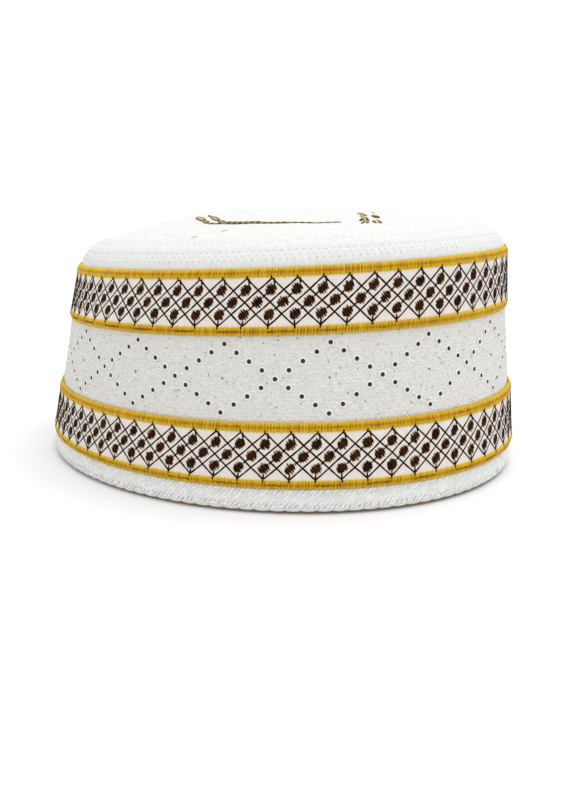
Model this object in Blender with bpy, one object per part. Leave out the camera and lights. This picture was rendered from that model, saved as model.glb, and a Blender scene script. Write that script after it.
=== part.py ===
"""Embroidered kufi cap: an oval pierced side wall, two ribbons, four borders, a crown and a hem."""

import math

import bmesh
import bpy
import numpy as np
from mathutils import Matrix, Vector

# The oval at the foot. The front is at -Y.
WIDTH = 0.175
LENGTH = 0.199

# The cap isn't quite true: its seam lies to one side and to the front, and is higher there
LEAN_SIDE = 0.0036
LEAN_FRONT = 0.0038
SEAM_RISE_SIDE = 0.0027
SEAM_RISE_FRONT = 0.0032

# Heights of the stacked zones, from the foot up
HEM_HEIGHT = 0.0088
BORDER_HEIGHT = 0.0027
BAND_HEIGHT = 0.0155
PANEL_HEIGHT = 0.0278
CROWN_RISE = 0.0178

# Cloth
WALL_THICKNESS = 0.002
CROWN_THICKNESS = 0.002
BAND_THICKNESS = 0.0008
BORDER_DEPTH = 0.0012
HEM_THICKNESS = 0.003
HEM_BULGE = 0.0004
HEM_FLAT = 0.0012
HEM_ROUND = 0.0008
GAP = 0.0003

# Eyelets: a chain of diamonds round the wall, with every second eyelet cut through here
DIAMONDS = 16
STEPS_PER_SIDE = 4
EYELET_RADIUS = 0.00065
EYELET_SIDES = 6
EYELET_MARGIN = 0.0028

# The first crossing of the diamonds lies this share of a diamond before the front
PATTERN_TURN = 0.18

# Facets round the cap, three to a diamond, turned so that no eyelet meets a facet's edge
FACETS_PER_DIAMOND = 3
FACET_TURN = 0.125
ARC_SAMPLES = 720

SEGMENTS = FACETS_PER_DIAMOND * DIAMONDS
BORDER_PITCH = BORDER_HEIGHT + BAND_HEIGHT
LOWER_BAND_FOOT = HEM_HEIGHT + BORDER_HEIGHT
PANEL_FOOT = LOWER_BAND_FOOT + BORDER_PITCH
PANEL_TOP = PANEL_FOOT + PANEL_HEIGHT
UPPER_BAND_FOOT = PANEL_TOP + BORDER_HEIGHT
WALL_TOP = UPPER_BAND_FOOT + BORDER_PITCH
HEIGHT = WALL_TOP + CROWN_RISE

# The oval at some heights: share of the wall's height, of the width and of the length
PLAN_COLUMNS = ("height", "width", "length")
PLAN = (
    (0.000, 1.000, 1.000),
    (0.116, 0.992, 0.993),
    (0.352, 0.971, 0.963),
    (0.550, 0.958, 0.934),
    (0.748, 0.943, 0.905),
    (1.000, 0.905, 0.884),
)

# The crown's profile from its seam to the middle: share of the seam's reach and of the rise
CROWN_COLUMNS = ("reach", "rise")
CROWN = (
    (1.000, 0.000),
    (0.996, 0.080),
    (0.985, 0.180),
    (0.955, 0.350),
    (0.910, 0.470),
    (0.840, 0.565),
    (0.720, 0.680),
    (0.580, 0.800),
    (0.420, 0.920),
    (0.220, 0.985),
)

COLOURS = {
    "white_cloth": (0.80, 0.79, 0.77, 1.0),
    "crown_cloth": (0.86, 0.86, 0.85, 1.0),
    "ribbon": (0.74, 0.71, 0.68, 1.0),
    "gold_thread": (0.76, 0.48, 0.05, 1.0),
    "hem_cloth": (0.78, 0.80, 0.81, 1.0),
}


def column(table, names, name):
    """One named column of a table."""
    return [row[names.index(name)] for row in table]


def half_axes(height):
    """Half the width and half the length of the oval at a height of the wall."""
    share = min(height / WALL_TOP, 1.0)
    shares = column(PLAN, PLAN_COLUMNS, "height")
    half_width = WIDTH / 2 * np.interp(share, shares, column(PLAN, PLAN_COLUMNS, "width"))
    half_length = LENGTH / 2 * np.interp(share, shares, column(PLAN, PLAN_COLUMNS, "length"))
    return half_width, half_length


def centre(height):
    """Where the oval's middle lies at a height, because the cap leans."""
    share = min(height / WALL_TOP, 1.0)
    return share * LEAN_SIDE, -share * LEAN_FRONT


def lift(across, along, height):
    """How much higher than the middle a point lies: nothing at the foot, and most at the seam."""
    half_width, half_length = half_axes(WALL_TOP)
    side = SEAM_RISE_SIDE * across / half_width
    front = -SEAM_RISE_FRONT * along / half_length
    return min(height / WALL_TOP, 1.0) * (side + front)


def angle_at(fraction, height):
    """The ellipse angle at a share of the way round, counted from the front towards +X."""
    half_width, half_length = half_axes(height)
    angles = np.linspace(-math.pi / 2, 1.5 * math.pi, ARC_SAMPLES + 1)
    steps = np.hypot(np.diff(half_width * np.cos(angles)), np.diff(half_length * np.sin(angles)))
    travelled = np.concatenate(([0.0], np.cumsum(steps)))
    return float(np.interp(fraction % 1.0 * travelled[-1], travelled, angles))


def outward(fraction, height):
    """The level direction that points straight out of the wall."""
    half_width, half_length = half_axes(height)
    angle = angle_at(fraction, height)
    return Vector((math.cos(angle) / half_width, math.sin(angle) / half_length, 0)).normalized()


def wall_point(fraction, height, reach=1.0, outset=0.0):
    """A point on the oval at a height, on its share of the oval's reach, moved out by the outset."""
    half_width, half_length = half_axes(height)
    side, front = centre(height)
    angle = angle_at(fraction, height)
    across = reach * half_width * math.cos(angle)
    along = reach * half_length * math.sin(angle)
    raised = height + reach * lift(across, along, height)
    return Vector((side + across, front + along, raised)) + outset * outward(fraction, height)


def fractions():
    """The facets' edges, as shares of the way round."""
    turn = PATTERN_TURN / DIAMONDS
    return [(number + FACET_TURN) / SEGMENTS - turn for number in range(SEGMENTS)]


def ring(mesh, height, reach=1.0, outset=0.0, drop=0.0):
    """A loop of vertices round the cap."""
    fall = Vector((0, 0, drop))
    return [mesh.verts.new(wall_point(fraction, height, reach, outset) - fall) for fraction in fractions()]


def skin(mesh, below, above):
    """Faces between two loops, looking outwards where the second loop is the upper one."""
    for number in range(SEGMENTS):
        after = (number + 1) % SEGMENTS
        mesh.faces.new((below[number], below[after], above[after], above[number]))


def add_object(name, mesh, material, collection):
    """Turn a bmesh into an object of the cap."""
    data = bpy.data.meshes.new(name)
    mesh.to_mesh(data)
    mesh.free()
    data.materials.append(material)
    data.shade_smooth()
    data.set_sharp_from_angle(angle=math.radians(35))
    piece = bpy.data.objects.new(name, data)
    collection.objects.link(piece)
    return piece


def swept(name, section, material, collection):
    """A closed section, outset and height pairs that run up the outer side, carried round the cap."""
    mesh = bmesh.new()
    rings = [ring(mesh, height, outset=outset) for outset, height in section]
    for below, above in zip(rings, rings[1:] + rings[:1]):
        skin(mesh, below, above)
    return add_object(name, mesh, material, collection)


def cloth_wall(name, heights, outset, thickness, material, collection):
    """A cloth wall round the cap through the given heights, its edges cut level."""
    outer = [(outset, height) for height in heights]
    inner = [(outset - thickness, height) for height in reversed(heights)]
    return swept(name, outer + inner, material, collection)


def fan(mesh, loop, middle):
    """Close a loop with faces to one vertex in its middle."""
    for number in range(SEGMENTS):
        mesh.faces.new((loop[number], loop[(number + 1) % SEGMENTS], middle))


def make_crown(material, collection):
    """A dome over the wall's top oval, as thick everywhere and cut level at its seam."""
    mesh = bmesh.new()
    seam = WALL_TOP + GAP
    mean_reach = (half_axes(WALL_TOP)[0] + half_axes(WALL_TOP)[1]) / 2
    reaches = column(CROWN, CROWN_COLUMNS, "reach")
    heights = [seam + (HEIGHT - seam) * share for share in column(CROWN, CROWN_COLUMNS, "rise")]
    outer = [ring(mesh, height, reach) for reach, height in zip(reaches, heights)]
    inner = [ring(mesh, heights[0], reaches[0], -CROWN_THICKNESS)]
    for row in range(1, len(CROWN)):
        after = min(row + 1, len(CROWN) - 1)
        inwards = (reaches[row - 1] - reaches[after]) * mean_reach
        tangent = Vector((inwards, heights[after] - heights[row - 1])).normalized()
        inset = CROWN_THICKNESS * tangent.y
        inner.append(ring(mesh, heights[row], reaches[row], -inset, CROWN_THICKNESS * tangent.x))
    top = mesh.verts.new((*centre(HEIGHT), HEIGHT))
    ceiling = mesh.verts.new((*centre(HEIGHT), HEIGHT - CROWN_THICKNESS))
    for below, above in zip(outer, outer[1:]):
        skin(mesh, below, above)
    fan(mesh, outer[-1], top)
    for below, above in zip(inner, inner[1:]):
        skin(mesh, above, below)
    fan(mesh, inner[-1][::-1], ceiling)
    skin(mesh, inner[0], outer[0])
    return add_object("crown", mesh, material, collection)


def eyelet_places():
    """Every second eyelet of the two zigzags that cross to make the diamonds."""
    steps = 2 * STEPS_PER_SIDE
    middle = (PANEL_FOOT + PANEL_TOP) / 2
    step_rise = (PANEL_HEIGHT / 2 - EYELET_MARGIN) / STEPS_PER_SIDE
    places = []
    for step in range(0, DIAMONDS * steps, 2):
        from_crossing = step % steps
        climb = min(from_crossing, steps - from_crossing) * step_rise
        fraction = (step / steps - PATTERN_TURN) / DIAMONDS
        places.append((fraction, middle + climb))
        if climb > 0:
            places.append((fraction, middle - climb))
    return places


def eyelet_cutters(collection):
    """One mesh with a prism across the wall at each eyelet."""
    mesh = bmesh.new()
    for fraction, height in eyelet_places():
        direction = outward(fraction, height)
        middle = wall_point(fraction, height, outset=-WALL_THICKNESS / 2)
        turn = direction.to_track_quat("Z", "Y").to_matrix().to_4x4()
        bmesh.ops.create_cone(
            mesh,
            cap_ends=True,
            segments=EYELET_SIDES,
            radius1=EYELET_RADIUS,
            radius2=EYELET_RADIUS,
            depth=3 * WALL_THICKNESS,
            matrix=Matrix.Translation(middle) @ turn,
        )
    data = bpy.data.meshes.new("eyelet_cutters")
    mesh.to_mesh(data)
    mesh.free()
    cutters = bpy.data.objects.new("eyelet_cutters", data)
    cutters.hide_render = True
    cutters.display_type = "WIRE"
    collection.objects.link(cutters)
    return cutters


def make_side_wall(material, collection, cutters):
    """The wall between the hem and the crown, with its eyelets cut through."""
    foot = HEM_HEIGHT + GAP
    rows = [share * WALL_TOP for share in column(PLAN, PLAN_COLUMNS, "height")[1:]]
    piece = cloth_wall("side_wall", [foot] + rows, 0, WALL_THICKNESS, material, collection)
    cut = piece.modifiers.new("eyelets", "BOOLEAN")
    cut.operation = "DIFFERENCE"
    cut.object = cutters
    return piece


def make_band(name, foot, material, collection):
    """A ribbon laid on the wall between two borders."""
    heights = (foot + GAP, foot + BAND_HEIGHT / 2, foot + BAND_HEIGHT - GAP)
    return cloth_wall(name, heights, GAP + BAND_THICKNESS, BAND_THICKNESS, material, collection)


def make_border(name, foot, material, collection):
    """A padded row of satin stitches on the wall."""
    shoulder = BORDER_DEPTH * 0.6
    section = (
        (GAP, foot),
        (GAP + shoulder, foot),
        (GAP + BORDER_DEPTH, foot + BORDER_HEIGHT / 2),
        (GAP + shoulder, foot + BORDER_HEIGHT),
        (GAP, foot + BORDER_HEIGHT),
    )
    return swept(name, section, material, collection)


def make_hem(material, collection):
    """The corded hem, rounded below and flat where it rests."""
    inner = -HEM_THICKNESS
    flat_outer = (inner + HEM_FLAT) / 2
    section = (
        (flat_outer, 0),
        (HEM_BULGE, HEM_ROUND),
        (HEM_BULGE, HEM_HEIGHT / 2),
        (0, HEM_HEIGHT),
        (inner, HEM_HEIGHT),
        (inner, HEM_ROUND),
        (flat_outer - HEM_FLAT, 0),
    )
    return swept("hem", section, material, collection)


def make_material(name, roughness):
    """A cloth or thread of the cap."""
    material = bpy.data.materials.new(name)
    material.use_nodes = True
    surface = material.node_tree.nodes["Principled BSDF"]
    surface.inputs["Base Color"].default_value = COLOURS[name]
    surface.inputs["Roughness"].default_value = roughness
    surface.inputs["Metallic"].default_value = 0.0
    return material


def main():
    for old in list(bpy.data.objects):
        bpy.data.objects.remove(old, do_unlink=True)
    cap = bpy.data.collections.new("kufi_cap")
    tools = bpy.data.collections.new("cutters")
    for collection in (cap, tools):
        bpy.context.scene.collection.children.link(collection)
    white_cloth = make_material("white_cloth", 0.85)
    crown_cloth = make_material("crown_cloth", 0.85)
    ribbon = make_material("ribbon", 0.6)
    gold_thread = make_material("gold_thread", 0.4)
    hem_cloth = make_material("hem_cloth", 0.85)
    make_hem(hem_cloth, cap)
    make_side_wall(white_cloth, cap, eyelet_cutters(tools))
    make_crown(crown_cloth, cap)
    make_band("lower_band", LOWER_BAND_FOOT, ribbon, cap)
    make_band("upper_band", UPPER_BAND_FOOT, ribbon, cap)
    border_feet = (HEM_HEIGHT, HEM_HEIGHT + BORDER_PITCH, PANEL_TOP, PANEL_TOP + BORDER_PITCH)
    for number, foot in enumerate(border_feet, start=1):
        make_border(f"border_{number}", foot, gold_thread, cap)


main()
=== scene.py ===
# The looks of an embroidered kufi cap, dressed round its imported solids
import math
from collections import namedtuple

import bmesh
import bpy
import numpy as np
from mathutils import Matrix, Vector


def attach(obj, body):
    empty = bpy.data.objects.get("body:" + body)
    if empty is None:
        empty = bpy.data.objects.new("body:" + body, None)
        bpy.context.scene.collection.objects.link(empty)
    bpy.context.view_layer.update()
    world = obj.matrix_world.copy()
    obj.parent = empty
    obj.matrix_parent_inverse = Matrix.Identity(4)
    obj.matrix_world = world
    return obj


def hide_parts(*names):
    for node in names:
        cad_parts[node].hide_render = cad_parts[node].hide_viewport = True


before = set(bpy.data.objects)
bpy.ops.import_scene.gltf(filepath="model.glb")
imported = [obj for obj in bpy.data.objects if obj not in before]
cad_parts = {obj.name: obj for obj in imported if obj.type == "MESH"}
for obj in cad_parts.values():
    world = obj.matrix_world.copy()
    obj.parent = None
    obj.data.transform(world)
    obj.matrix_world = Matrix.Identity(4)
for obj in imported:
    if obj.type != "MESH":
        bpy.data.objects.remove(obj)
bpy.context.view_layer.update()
chance = np.random.default_rng(11)  # seeded, so each run draws the same stitches
print("frame loaded")

mm = 0.001


def table(columns, *rows):
    # rows whose values go by the columns' names
    Row = namedtuple("Row", columns)
    return [Row(*row) for row in rows]


# The cap's own sizes, as its solids have them
cap = {
    "width": 175 * mm,
    "length": 199 * mm,
    "leanSide": 3.6 * mm,
    "leanFront": 3.8 * mm,
    "riseSide": 2.7 * mm,
    "riseFront": 3.2 * mm,
    "hem": 8.8 * mm,
    "border": 2.7 * mm,
    "band": 15.5 * mm,
    "panel": 27.8 * mm,
    "crownRise": 17.8 * mm,
    "wall": 2 * mm,
    "ribbon": 0.8 * mm,
    "gap": 0.3 * mm,
}
lowerFoot = cap["hem"] + cap["border"]
panelFoot = lowerFoot + cap["band"] + cap["border"]
panelTop = panelFoot + cap["panel"]
panelMiddle = (panelFoot + panelTop) / 2
upperFoot = panelTop + cap["border"]
wallTop = upperFoot + cap["band"] + cap["border"]
ribbonTop = cap["gap"] + cap["ribbon"]

# The oval at some heights, as shares of the wall's height and of the cap's width and length
planRows = table(
    "height width length",
    (0.000, 1.000, 1.000),
    (0.116, 0.992, 0.993),
    (0.352, 0.971, 0.963),
    (0.550, 0.958, 0.934),
    (0.748, 0.943, 0.905),
    (1.000, 0.905, 0.884),
)

# The crown's profile from its seam to its middle, as shares of its reach and of its rise
profileRows = table(
    "reach rise",
    (1.000, 0.000),
    (0.996, 0.080),
    (0.985, 0.180),
    (0.955, 0.350),
    (0.910, 0.470),
    (0.840, 0.565),
    (0.720, 0.680),
    (0.580, 0.800),
    (0.420, 0.920),
    (0.220, 0.985),
    (0.000, 1.000),
)

planHeights = np.array([row.height for row in planRows]) * wallTop
planHalfWidths = np.array([row.width for row in planRows]) * cap["width"] / 2
planHalfLengths = np.array([row.length for row in planRows]) * cap["length"] / 2
turnAngles = np.linspace(-math.pi / 2, 1.5 * math.pi, 721)  # from the front towards +X


def travelled(halfWidth, halfLength):
    steps = np.hypot(np.diff(halfWidth * np.cos(turnAngles)), np.diff(halfLength * np.sin(turnAngles)))
    return np.concatenate(([0.0], np.cumsum(steps)))


planTravels = [travelled(*axes) for axes in zip(planHalfWidths, planHalfLengths)]


def roundLength(height):
    return float(np.interp(height, planHeights, [travel[-1] for travel in planTravels]))


def anglesAt(shares, heights):
    # the oval's angle at a share of the way round; it hardly changes from one plan row to the next
    found = np.array([np.interp(shares % 1.0, travel / travel[-1], turnAngles) for travel in planTravels])
    row = np.interp(heights, planHeights, np.arange(len(planHeights)))
    low = np.minimum(row.astype(int), len(planHeights) - 2)
    part = row - low
    pick = np.arange(len(shares))
    return found[low, pick] * (1 - part) + found[low + 1, pick] * part


def arrays(*values):
    return [np.array(value, float) for value in np.broadcast_arrays(*map(np.atleast_1d, values))]


def pairs(first, second):
    return np.stack(np.broadcast_arrays(first, second), -1)


def unit(vectors):
    return vectors / np.linalg.norm(vectors, axis=1)[:, None]


def outwardAt(angles, halfWidths, halfLengths):
    across, along = np.cos(angles) / halfWidths, np.sin(angles) / halfLengths
    return unit(np.stack((across, along, np.zeros_like(across)), -1))


def raisedBy(angles, reaches):
    # the seam is higher to one side and to the front
    return reaches * (cap["riseSide"] * np.cos(angles) - cap["riseFront"] * np.sin(angles))


def wallPoints(shares, heights, outsets=0.0):
    shares, heights, outsets = arrays(shares, heights, outsets)
    halfWidths = np.interp(heights, planHeights, planHalfWidths)
    halfLengths = np.interp(heights, planHeights, planHalfLengths)
    angles = anglesAt(shares, heights)
    level = np.minimum(heights / wallTop, 1.0)
    side = cap["riseSide"] * halfWidths * np.cos(angles) / planHalfWidths[-1]
    front = cap["riseFront"] * halfLengths * np.sin(angles) / planHalfLengths[-1]
    points = np.stack((
        level * cap["leanSide"] + halfWidths * np.cos(angles),
        -level * cap["leanFront"] + halfLengths * np.sin(angles),
        heights + level * (side - front),
    ), -1)
    return points + outsets[:, None] * outwardAt(angles, halfWidths, halfLengths)


def wallNormals(shares, heights):
    shares, heights = arrays(shares, heights)
    nudge = 0.2 * mm
    turn = nudge / roundLength(0)
    around = wallPoints(shares + turn, heights) - wallPoints(shares - turn, heights)
    upward = wallPoints(shares, heights + nudge) - wallPoints(shares, heights)
    return unit(np.cross(around, upward))


def smoothProfile(rows, steps):
    # a curve through the rows, level at the middle of the crown
    beyond = (-rows[-2].reach, rows[-2].rise)
    rows = np.array([rows[0], *rows, beyond])
    curve = []
    for before, start, end, after in zip(rows, rows[1:], rows[2:], rows[3:]):
        for part in np.linspace(0, 1, steps, endpoint=False):
            pull = 2 * start + (end - before) * part
            pull += (2 * before - 5 * start + 4 * end - after) * part ** 2
            curve.append((pull + (3 * start - before - 3 * end + after) * part ** 3) / 2)
    return np.array(curve + [rows[-2]])[::-1]


crownReaches, crownRises = smoothProfile(profileRows, 8).T
crownMean = (planHalfWidths[-1] + planHalfLengths[-1]) / 2
crownFoot = wallTop + cap["gap"]


def crownPoints(shares, reaches, outsets=0.0):
    shares, reaches, outsets = arrays(shares, reaches, outsets)
    angles = anglesAt(shares, np.full_like(shares, wallTop))
    rise = (cap["crownRise"] - cap["gap"]) * np.interp(reaches, crownReaches, crownRises)
    points = np.stack((
        cap["leanSide"] + reaches * planHalfWidths[-1] * np.cos(angles),
        -cap["leanFront"] + reaches * planHalfLengths[-1] * np.sin(angles),
        crownFoot + rise + reaches * raisedBy(angles, reaches),
    ), -1)
    return points + outsets[:, None] * crownNormals(shares, reaches)


def crownNormals(shares, reaches):
    shares, reaches = arrays(shares, reaches)
    angles = anglesAt(shares, np.full_like(shares, wallTop))
    nudge = 0.004
    inner, outer = np.clip(reaches - nudge, 0, 1), np.clip(reaches + nudge, 0, 1)
    high, low = (cap["crownRise"] * np.interp(ends, crownReaches, crownRises) for ends in (inner, outer))
    run, fall = (outer - inner) * crownMean, high - low
    tilt = np.where(reaches < nudge, 0.0, fall / np.hypot(run, fall))
    outward = outwardAt(angles, planHalfWidths[-1], planHalfLengths[-1])
    return outward * tilt[:, None] + np.stack((0 * run, 0 * run, np.sqrt(1 - tilt ** 2)), -1)


# Shader helpers: an expression on values adds its Math nodes
class Value:
    def __init__(self, recipe, socket):
        self.recipe, self.socket = recipe, socket

    def __add__(self, other):
        return self.recipe.maths("ADD", self, other)

    def __sub__(self, other):
        return self.recipe.maths("SUBTRACT", self, other)

    def __rsub__(self, other):
        return self.recipe.maths("SUBTRACT", other, self)

    def __mul__(self, other):
        return self.recipe.maths("MULTIPLY", self, other)

    __radd__ = __add__
    __rmul__ = __mul__


class Recipe:
    def __init__(self, name, **constants):
        self.material = bpy.data.materials.new(name)
        self.material.use_nodes = True
        self.tree = self.material.node_tree
        self.shader = self.tree.nodes["Principled BSDF"]
        for socket, value in constants.items():
            self.plug(self.shader.inputs[socket.replace("_", " ")], value)

    def node(self, kind, settings=None, inputs=None, output=0):
        made = self.tree.nodes.new(kind)
        for name, value in (settings or {}).items():
            setattr(made, name, value)
        for name, value in (inputs or {}).items():
            self.plug(made.inputs[name], value)
        return Value(self, made.outputs[output])

    def plug(self, socket, value):
        if isinstance(value, Value):
            self.tree.links.new(value.socket, socket)
        elif socket.type == "RGBA":
            socket.default_value = (*value, 1)
        else:
            socket.default_value = value

    def maths(self, operation, *values):
        return self.node("ShaderNodeMath", {"operation": operation}, dict(enumerate(values)))

    def blendColours(self, factor, first, second):
        ends = {0: factor, 6: first, 7: second}
        return self.node("ShaderNodeMix", {"data_type": "RGBA"}, ends, 2)

    def noise(self, place, scale, detail):
        wanted = {"Vector": place, "Scale": scale, "Detail": detail, "Roughness": 0.6}
        return self.node("ShaderNodeTexNoise", {}, wanted, "Fac")

    def step(self, value, low, high):
        # 0 below low, 1 above high, eased between
        ends = {"Value": value, "From Min": low, "From Max": high}
        return self.node("ShaderNodeMapRange", {"interpolation_type": "SMOOTHSTEP"}, ends)

    def clothPlace(self):
        return self.node("ShaderNodeTexCoord", output="UV")  # millimetres round the cap and up it

    def bodyPlace(self):
        place = self.node("ShaderNodeTexCoord", output="Object")
        return self.node("ShaderNodeVectorMath", {"operation": "SCALE"}, {"Vector": place, "Scale": 1 / mm})

    def parts(self, place):
        return [self.node("ShaderNodeSeparateXYZ", {}, {0: place}, axis) for axis in "XYZ"]

    def tone(self):
        return self.node("ShaderNodeAttribute", {"attribute_name": "tone"}, output="Fac")

    def finish(self, colour, height=None, strength=None, distance=None):
        self.plug(self.shader.inputs["Base Color"], colour)
        if height is not None:
            wanted = {"Height": height, "Strength": strength, "Distance": distance}
            bump = self.node("ShaderNodeBump", {}, wanted, "Normal")
            self.plug(self.shader.inputs["Normal"], bump)
        return self.material


# Cloths: weave is the pitch of the threads in mm; blotch and pricks say how many lie in a millimetre
clothLooks = {
    "panel": {
        "pale": (0.65, 0.635, 0.605), "shade": (0.54, 0.53, 0.50), "prick": (0.17, 0.15, 0.13),
        "weave": 0.55, "blotch": 0.75, "pricks": 0.42, "relief": 0.16 * mm,
    },
    "crown": {
        "pale": (0.655, 0.66, 0.645), "shade": (0.57, 0.58, 0.57),
        "weave": 0.6, "blotch": 0.45, "relief": 0.22 * mm,
        "flat": True,  # woven straight across and along the cap, and the others round it
    },
    "ribbon": {
        "pale": (0.71, 0.65, 0.60), "shade": (0.61, 0.575, 0.535),
        "weave": 0.42, "blotch": 0.5, "relief": 0.16 * mm,
    },
    "hem": {
        "pale": (0.69, 0.70, 0.685), "shade": (0.61, 0.625, 0.615),
        "weave": 0.6, "blotch": 0.8, "relief": 0.16 * mm,
    },
}
clothMix = {
    "shadeFrom": 0.3, "shadeTo": 0.75, "shadeMost": 0.6,
    "prickFrom": 0.07, "prickTo": 0.16, "prickMost": 0.8,
    "threadHeight": 0.35, "cloudHeight": 1.4, "prickDepth": 1.5, "strength": 0.8,
}


def weave(recipe, place, pitch):
    # plain weave: two sets of threads, each on top in turn
    across, up, _ = recipe.parts(place)
    turn = 2 * math.pi / pitch
    warp = recipe.maths("SINE", across * turn)
    weft = recipe.maths("SINE", up * turn)
    return recipe.maths("ABSOLUTE", warp) * 0.5 + recipe.maths("ABSOLUTE", weft) * 0.5


def clothMaterial(name):
    look = clothLooks[name]
    recipe = Recipe(f"{name}_cloth", Roughness=0.9, Specular_IOR_Level=0.2)
    place = recipe.bodyPlace() if look.get("flat") else recipe.clothPlace()
    threads = weave(recipe, place, look["weave"])
    cloud = recipe.noise(place, look["blotch"], 3.0)
    shade = recipe.step(cloud, clothMix["shadeFrom"], clothMix["shadeTo"])
    colour = recipe.blendColours(shade * clothMix["shadeMost"], look["pale"], look["shade"])
    height = threads * clothMix["threadHeight"] + cloud * clothMix["cloudHeight"]
    if "pricks" in look:
        settings = {"feature": "F1", "distance": "EUCLIDEAN"}
        scale = {"Vector": place, "Scale": look["pricks"]}
        cell = recipe.node("ShaderNodeTexVoronoi", settings, scale, "Distance")
        prick = 1 - recipe.step(cell, clothMix["prickFrom"], clothMix["prickTo"])
        colour = recipe.blendColours(prick * clothMix["prickMost"], colour, look["prick"])
        height = height - prick * clothMix["prickDepth"]
    return recipe.finish(colour, height, clothMix["strength"], look["relief"])


# Threads: the two ends of their colour, how much paler a stitch's ends are (a painted highlight where the
# thread turns towards the light, leaving the middle in painted shade), and the twist's pitch in mm
threadLooks = table(
    "name deep light rough gloss ends twist",
    ("dark", (0.006, 0.002, 0.0005), (0.022, 0.006, 0.0008), 0.8, 0.05, 0.0, 0.7),
    ("brown", (0.006, 0.002, 0.0005), (0.044, 0.013, 0.0012), 0.8, 0.05, 0.0, 0.7),
    ("gold", (0.32, 0.115, 0.001), (0.67, 0.46, 0.007), 0.5, 0.2, 0.32, 0.7),
    ("rust", (0.07, 0.015, 0.001), (0.26, 0.08, 0.003), 0.6, 0.1, 0.0, 0.7),
    ("olive", (0.05, 0.032, 0.006), (0.30, 0.23, 0.08), 0.6, 0.1, 0.0, 0.7),
    ("tan", (0.07, 0.035, 0.012), (0.34, 0.21, 0.09), 0.6, 0.1, 0.0, 0.7),
    ("cream", (0.22, 0.16, 0.045), (0.60, 0.54, 0.27), 0.6, 0.2, 0.0, 0.7),
    ("white", (0.60, 0.59, 0.57), (0.78, 0.77, 0.745), 0.8, 0.2, 0.0, 0.7),
    ("bright", (0.56, 0.565, 0.56), (0.64, 0.645, 0.635), 0.8, 0.2, 0.0, 0.7),
    ("cord", (0.64, 0.65, 0.635), (0.75, 0.76, 0.745), 0.9, 0.2, 0.0, 0.9),
)
threadMix = {
    "toneShare": 0.75, "fibreShare": 0.35, "fibreScale": 6.0, "lightFrom": 0.1, "lightTo": 0.95,
    "twistHeight": 0.5, "fibreHeight": 0.6, "strength": 0.35, "relief": 0.05 * mm,
}


def threadMaterial(look):
    recipe = Recipe(f"{look.name}_thread", Roughness=look.rough, Specular_IOR_Level=look.gloss)
    along, turn, _ = recipe.parts(recipe.clothPlace())
    twist = recipe.maths("SINE", along * (2 * math.pi / look.twist) + turn * (4 * math.pi))
    fibres = recipe.noise(recipe.bodyPlace(), threadMix["fibreScale"], 2.0)
    tone = recipe.tone() * threadMix["toneShare"] + fibres * threadMix["fibreShare"]
    # paler ends are a painted highlight, where a stitch turns towards the light, and the middle stays
    # darker as painted shade
    tone = tone + recipe.maths("ABSOLUTE", along) * look.ends
    tone = recipe.step(tone, threadMix["lightFrom"], threadMix["lightTo"])
    height = twist * threadMix["twistHeight"] + fibres * threadMix["fibreHeight"]
    colour = recipe.blendColours(tone, look.deep, look.light)
    return recipe.finish(colour, height, threadMix["strength"], threadMix["relief"])


# Painted shade: flat dark colours that stand for the shade in the eyelets' sides, in the bottoms of the
# crown's vents and under the hem
paintedShadeLooks = {"sides": (0.048, 0.036, 0.022), "dimple": (0.40, 0.40, 0.39), "under": (0.34, 0.25, 0.16)}


def paintedShadeMaterial(name):
    return Recipe(f"{name}_painted_shade", Roughness=1.0, Specular_IOR_Level=0.1).finish(paintedShadeLooks[name])


finishes = {name: clothMaterial(name) for name in clothLooks}
finishes |= {name: paintedShadeMaterial(name) for name in paintedShadeLooks}
finishes |= {look.name: threadMaterial(look) for look in threadLooks}
print("materials made")


# Making pieces
def settle(piece, finish, replaced=()):
    piece.data.materials.clear()
    piece.data.materials.append(finishes[finish])
    piece.data.shade_smooth()
    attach(piece, "root")
    if replaced:
        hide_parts(*replaced)


def newPiece(name, data):
    piece = bpy.data.objects.new(name, data)
    bpy.context.scene.collection.objects.link(piece)
    return piece


def shapeOf(mesh):
    bmesh.ops.triangulate(mesh, faces=mesh.faces[:])
    mesh.verts.index_update()
    points = np.array([vert.co[:] for vert in mesh.verts])
    corners = np.array([[vert.index for vert in face.verts] for face in mesh.faces])
    mesh.free()
    return points, corners


def meshOf(name, points, corners):
    data = bpy.data.meshes.new(name)
    data.vertices.add(len(points))
    data.vertices.foreach_set("co", points.astype(np.float32).ravel())
    data.loops.add(corners.size)
    data.loops.foreach_set("vertex_index", corners.astype(np.int32).ravel())
    data.polygons.add(len(corners))
    data.polygons.foreach_set("loop_start", np.arange(0, corners.size, 3, dtype=np.int32))
    data.update(calc_edges=True)
    return data


def markCloth(data, marks):
    # the cloth's or the stitch's own millimetres, as a UV map
    data.uv_layers.new(name="cloth").data.foreach_set("uv", marks.astype(np.float32).ravel())


def repeated(name, shape, middles, along, across, upright, tones=None):
    # one joined mesh with a copy of the shape on each set of axes
    points, corners = shape
    copies = len(middles)
    placed = middles[:, None] + along[:, None] * points[None, :, :1]
    placed = placed + across[:, None] * points[None, :, 1:2] + upright[:, None] * points[None, :, 2:]
    firsts = (np.arange(copies) * len(points))[:, None, None]
    data = meshOf(name, placed.reshape(-1, 3), (corners[None] + firsts).reshape(-1, 3))
    reach = np.linalg.norm(along, axis=1)[:, None] / mm
    lengthwise = (reach * points[None, :, 0]).ravel()
    turned = np.tile(np.arctan2(points[:, 1], points[:, 2]) / (2 * math.pi), copies)
    corner = np.zeros(corners.size * copies, np.int32)
    data.loops.foreach_get("vertex_index", corner)
    markCloth(data, pairs(lengthwise[corner], turned[corner]))
    if tones is None:
        tones = chance.random(copies)
    tones = np.repeat(np.broadcast_to(tones, copies), len(points))
    data.attributes.new("tone", "FLOAT", "POINT").data.foreach_set("value", tones.astype(np.float32))
    return newPiece(name, data)


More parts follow.
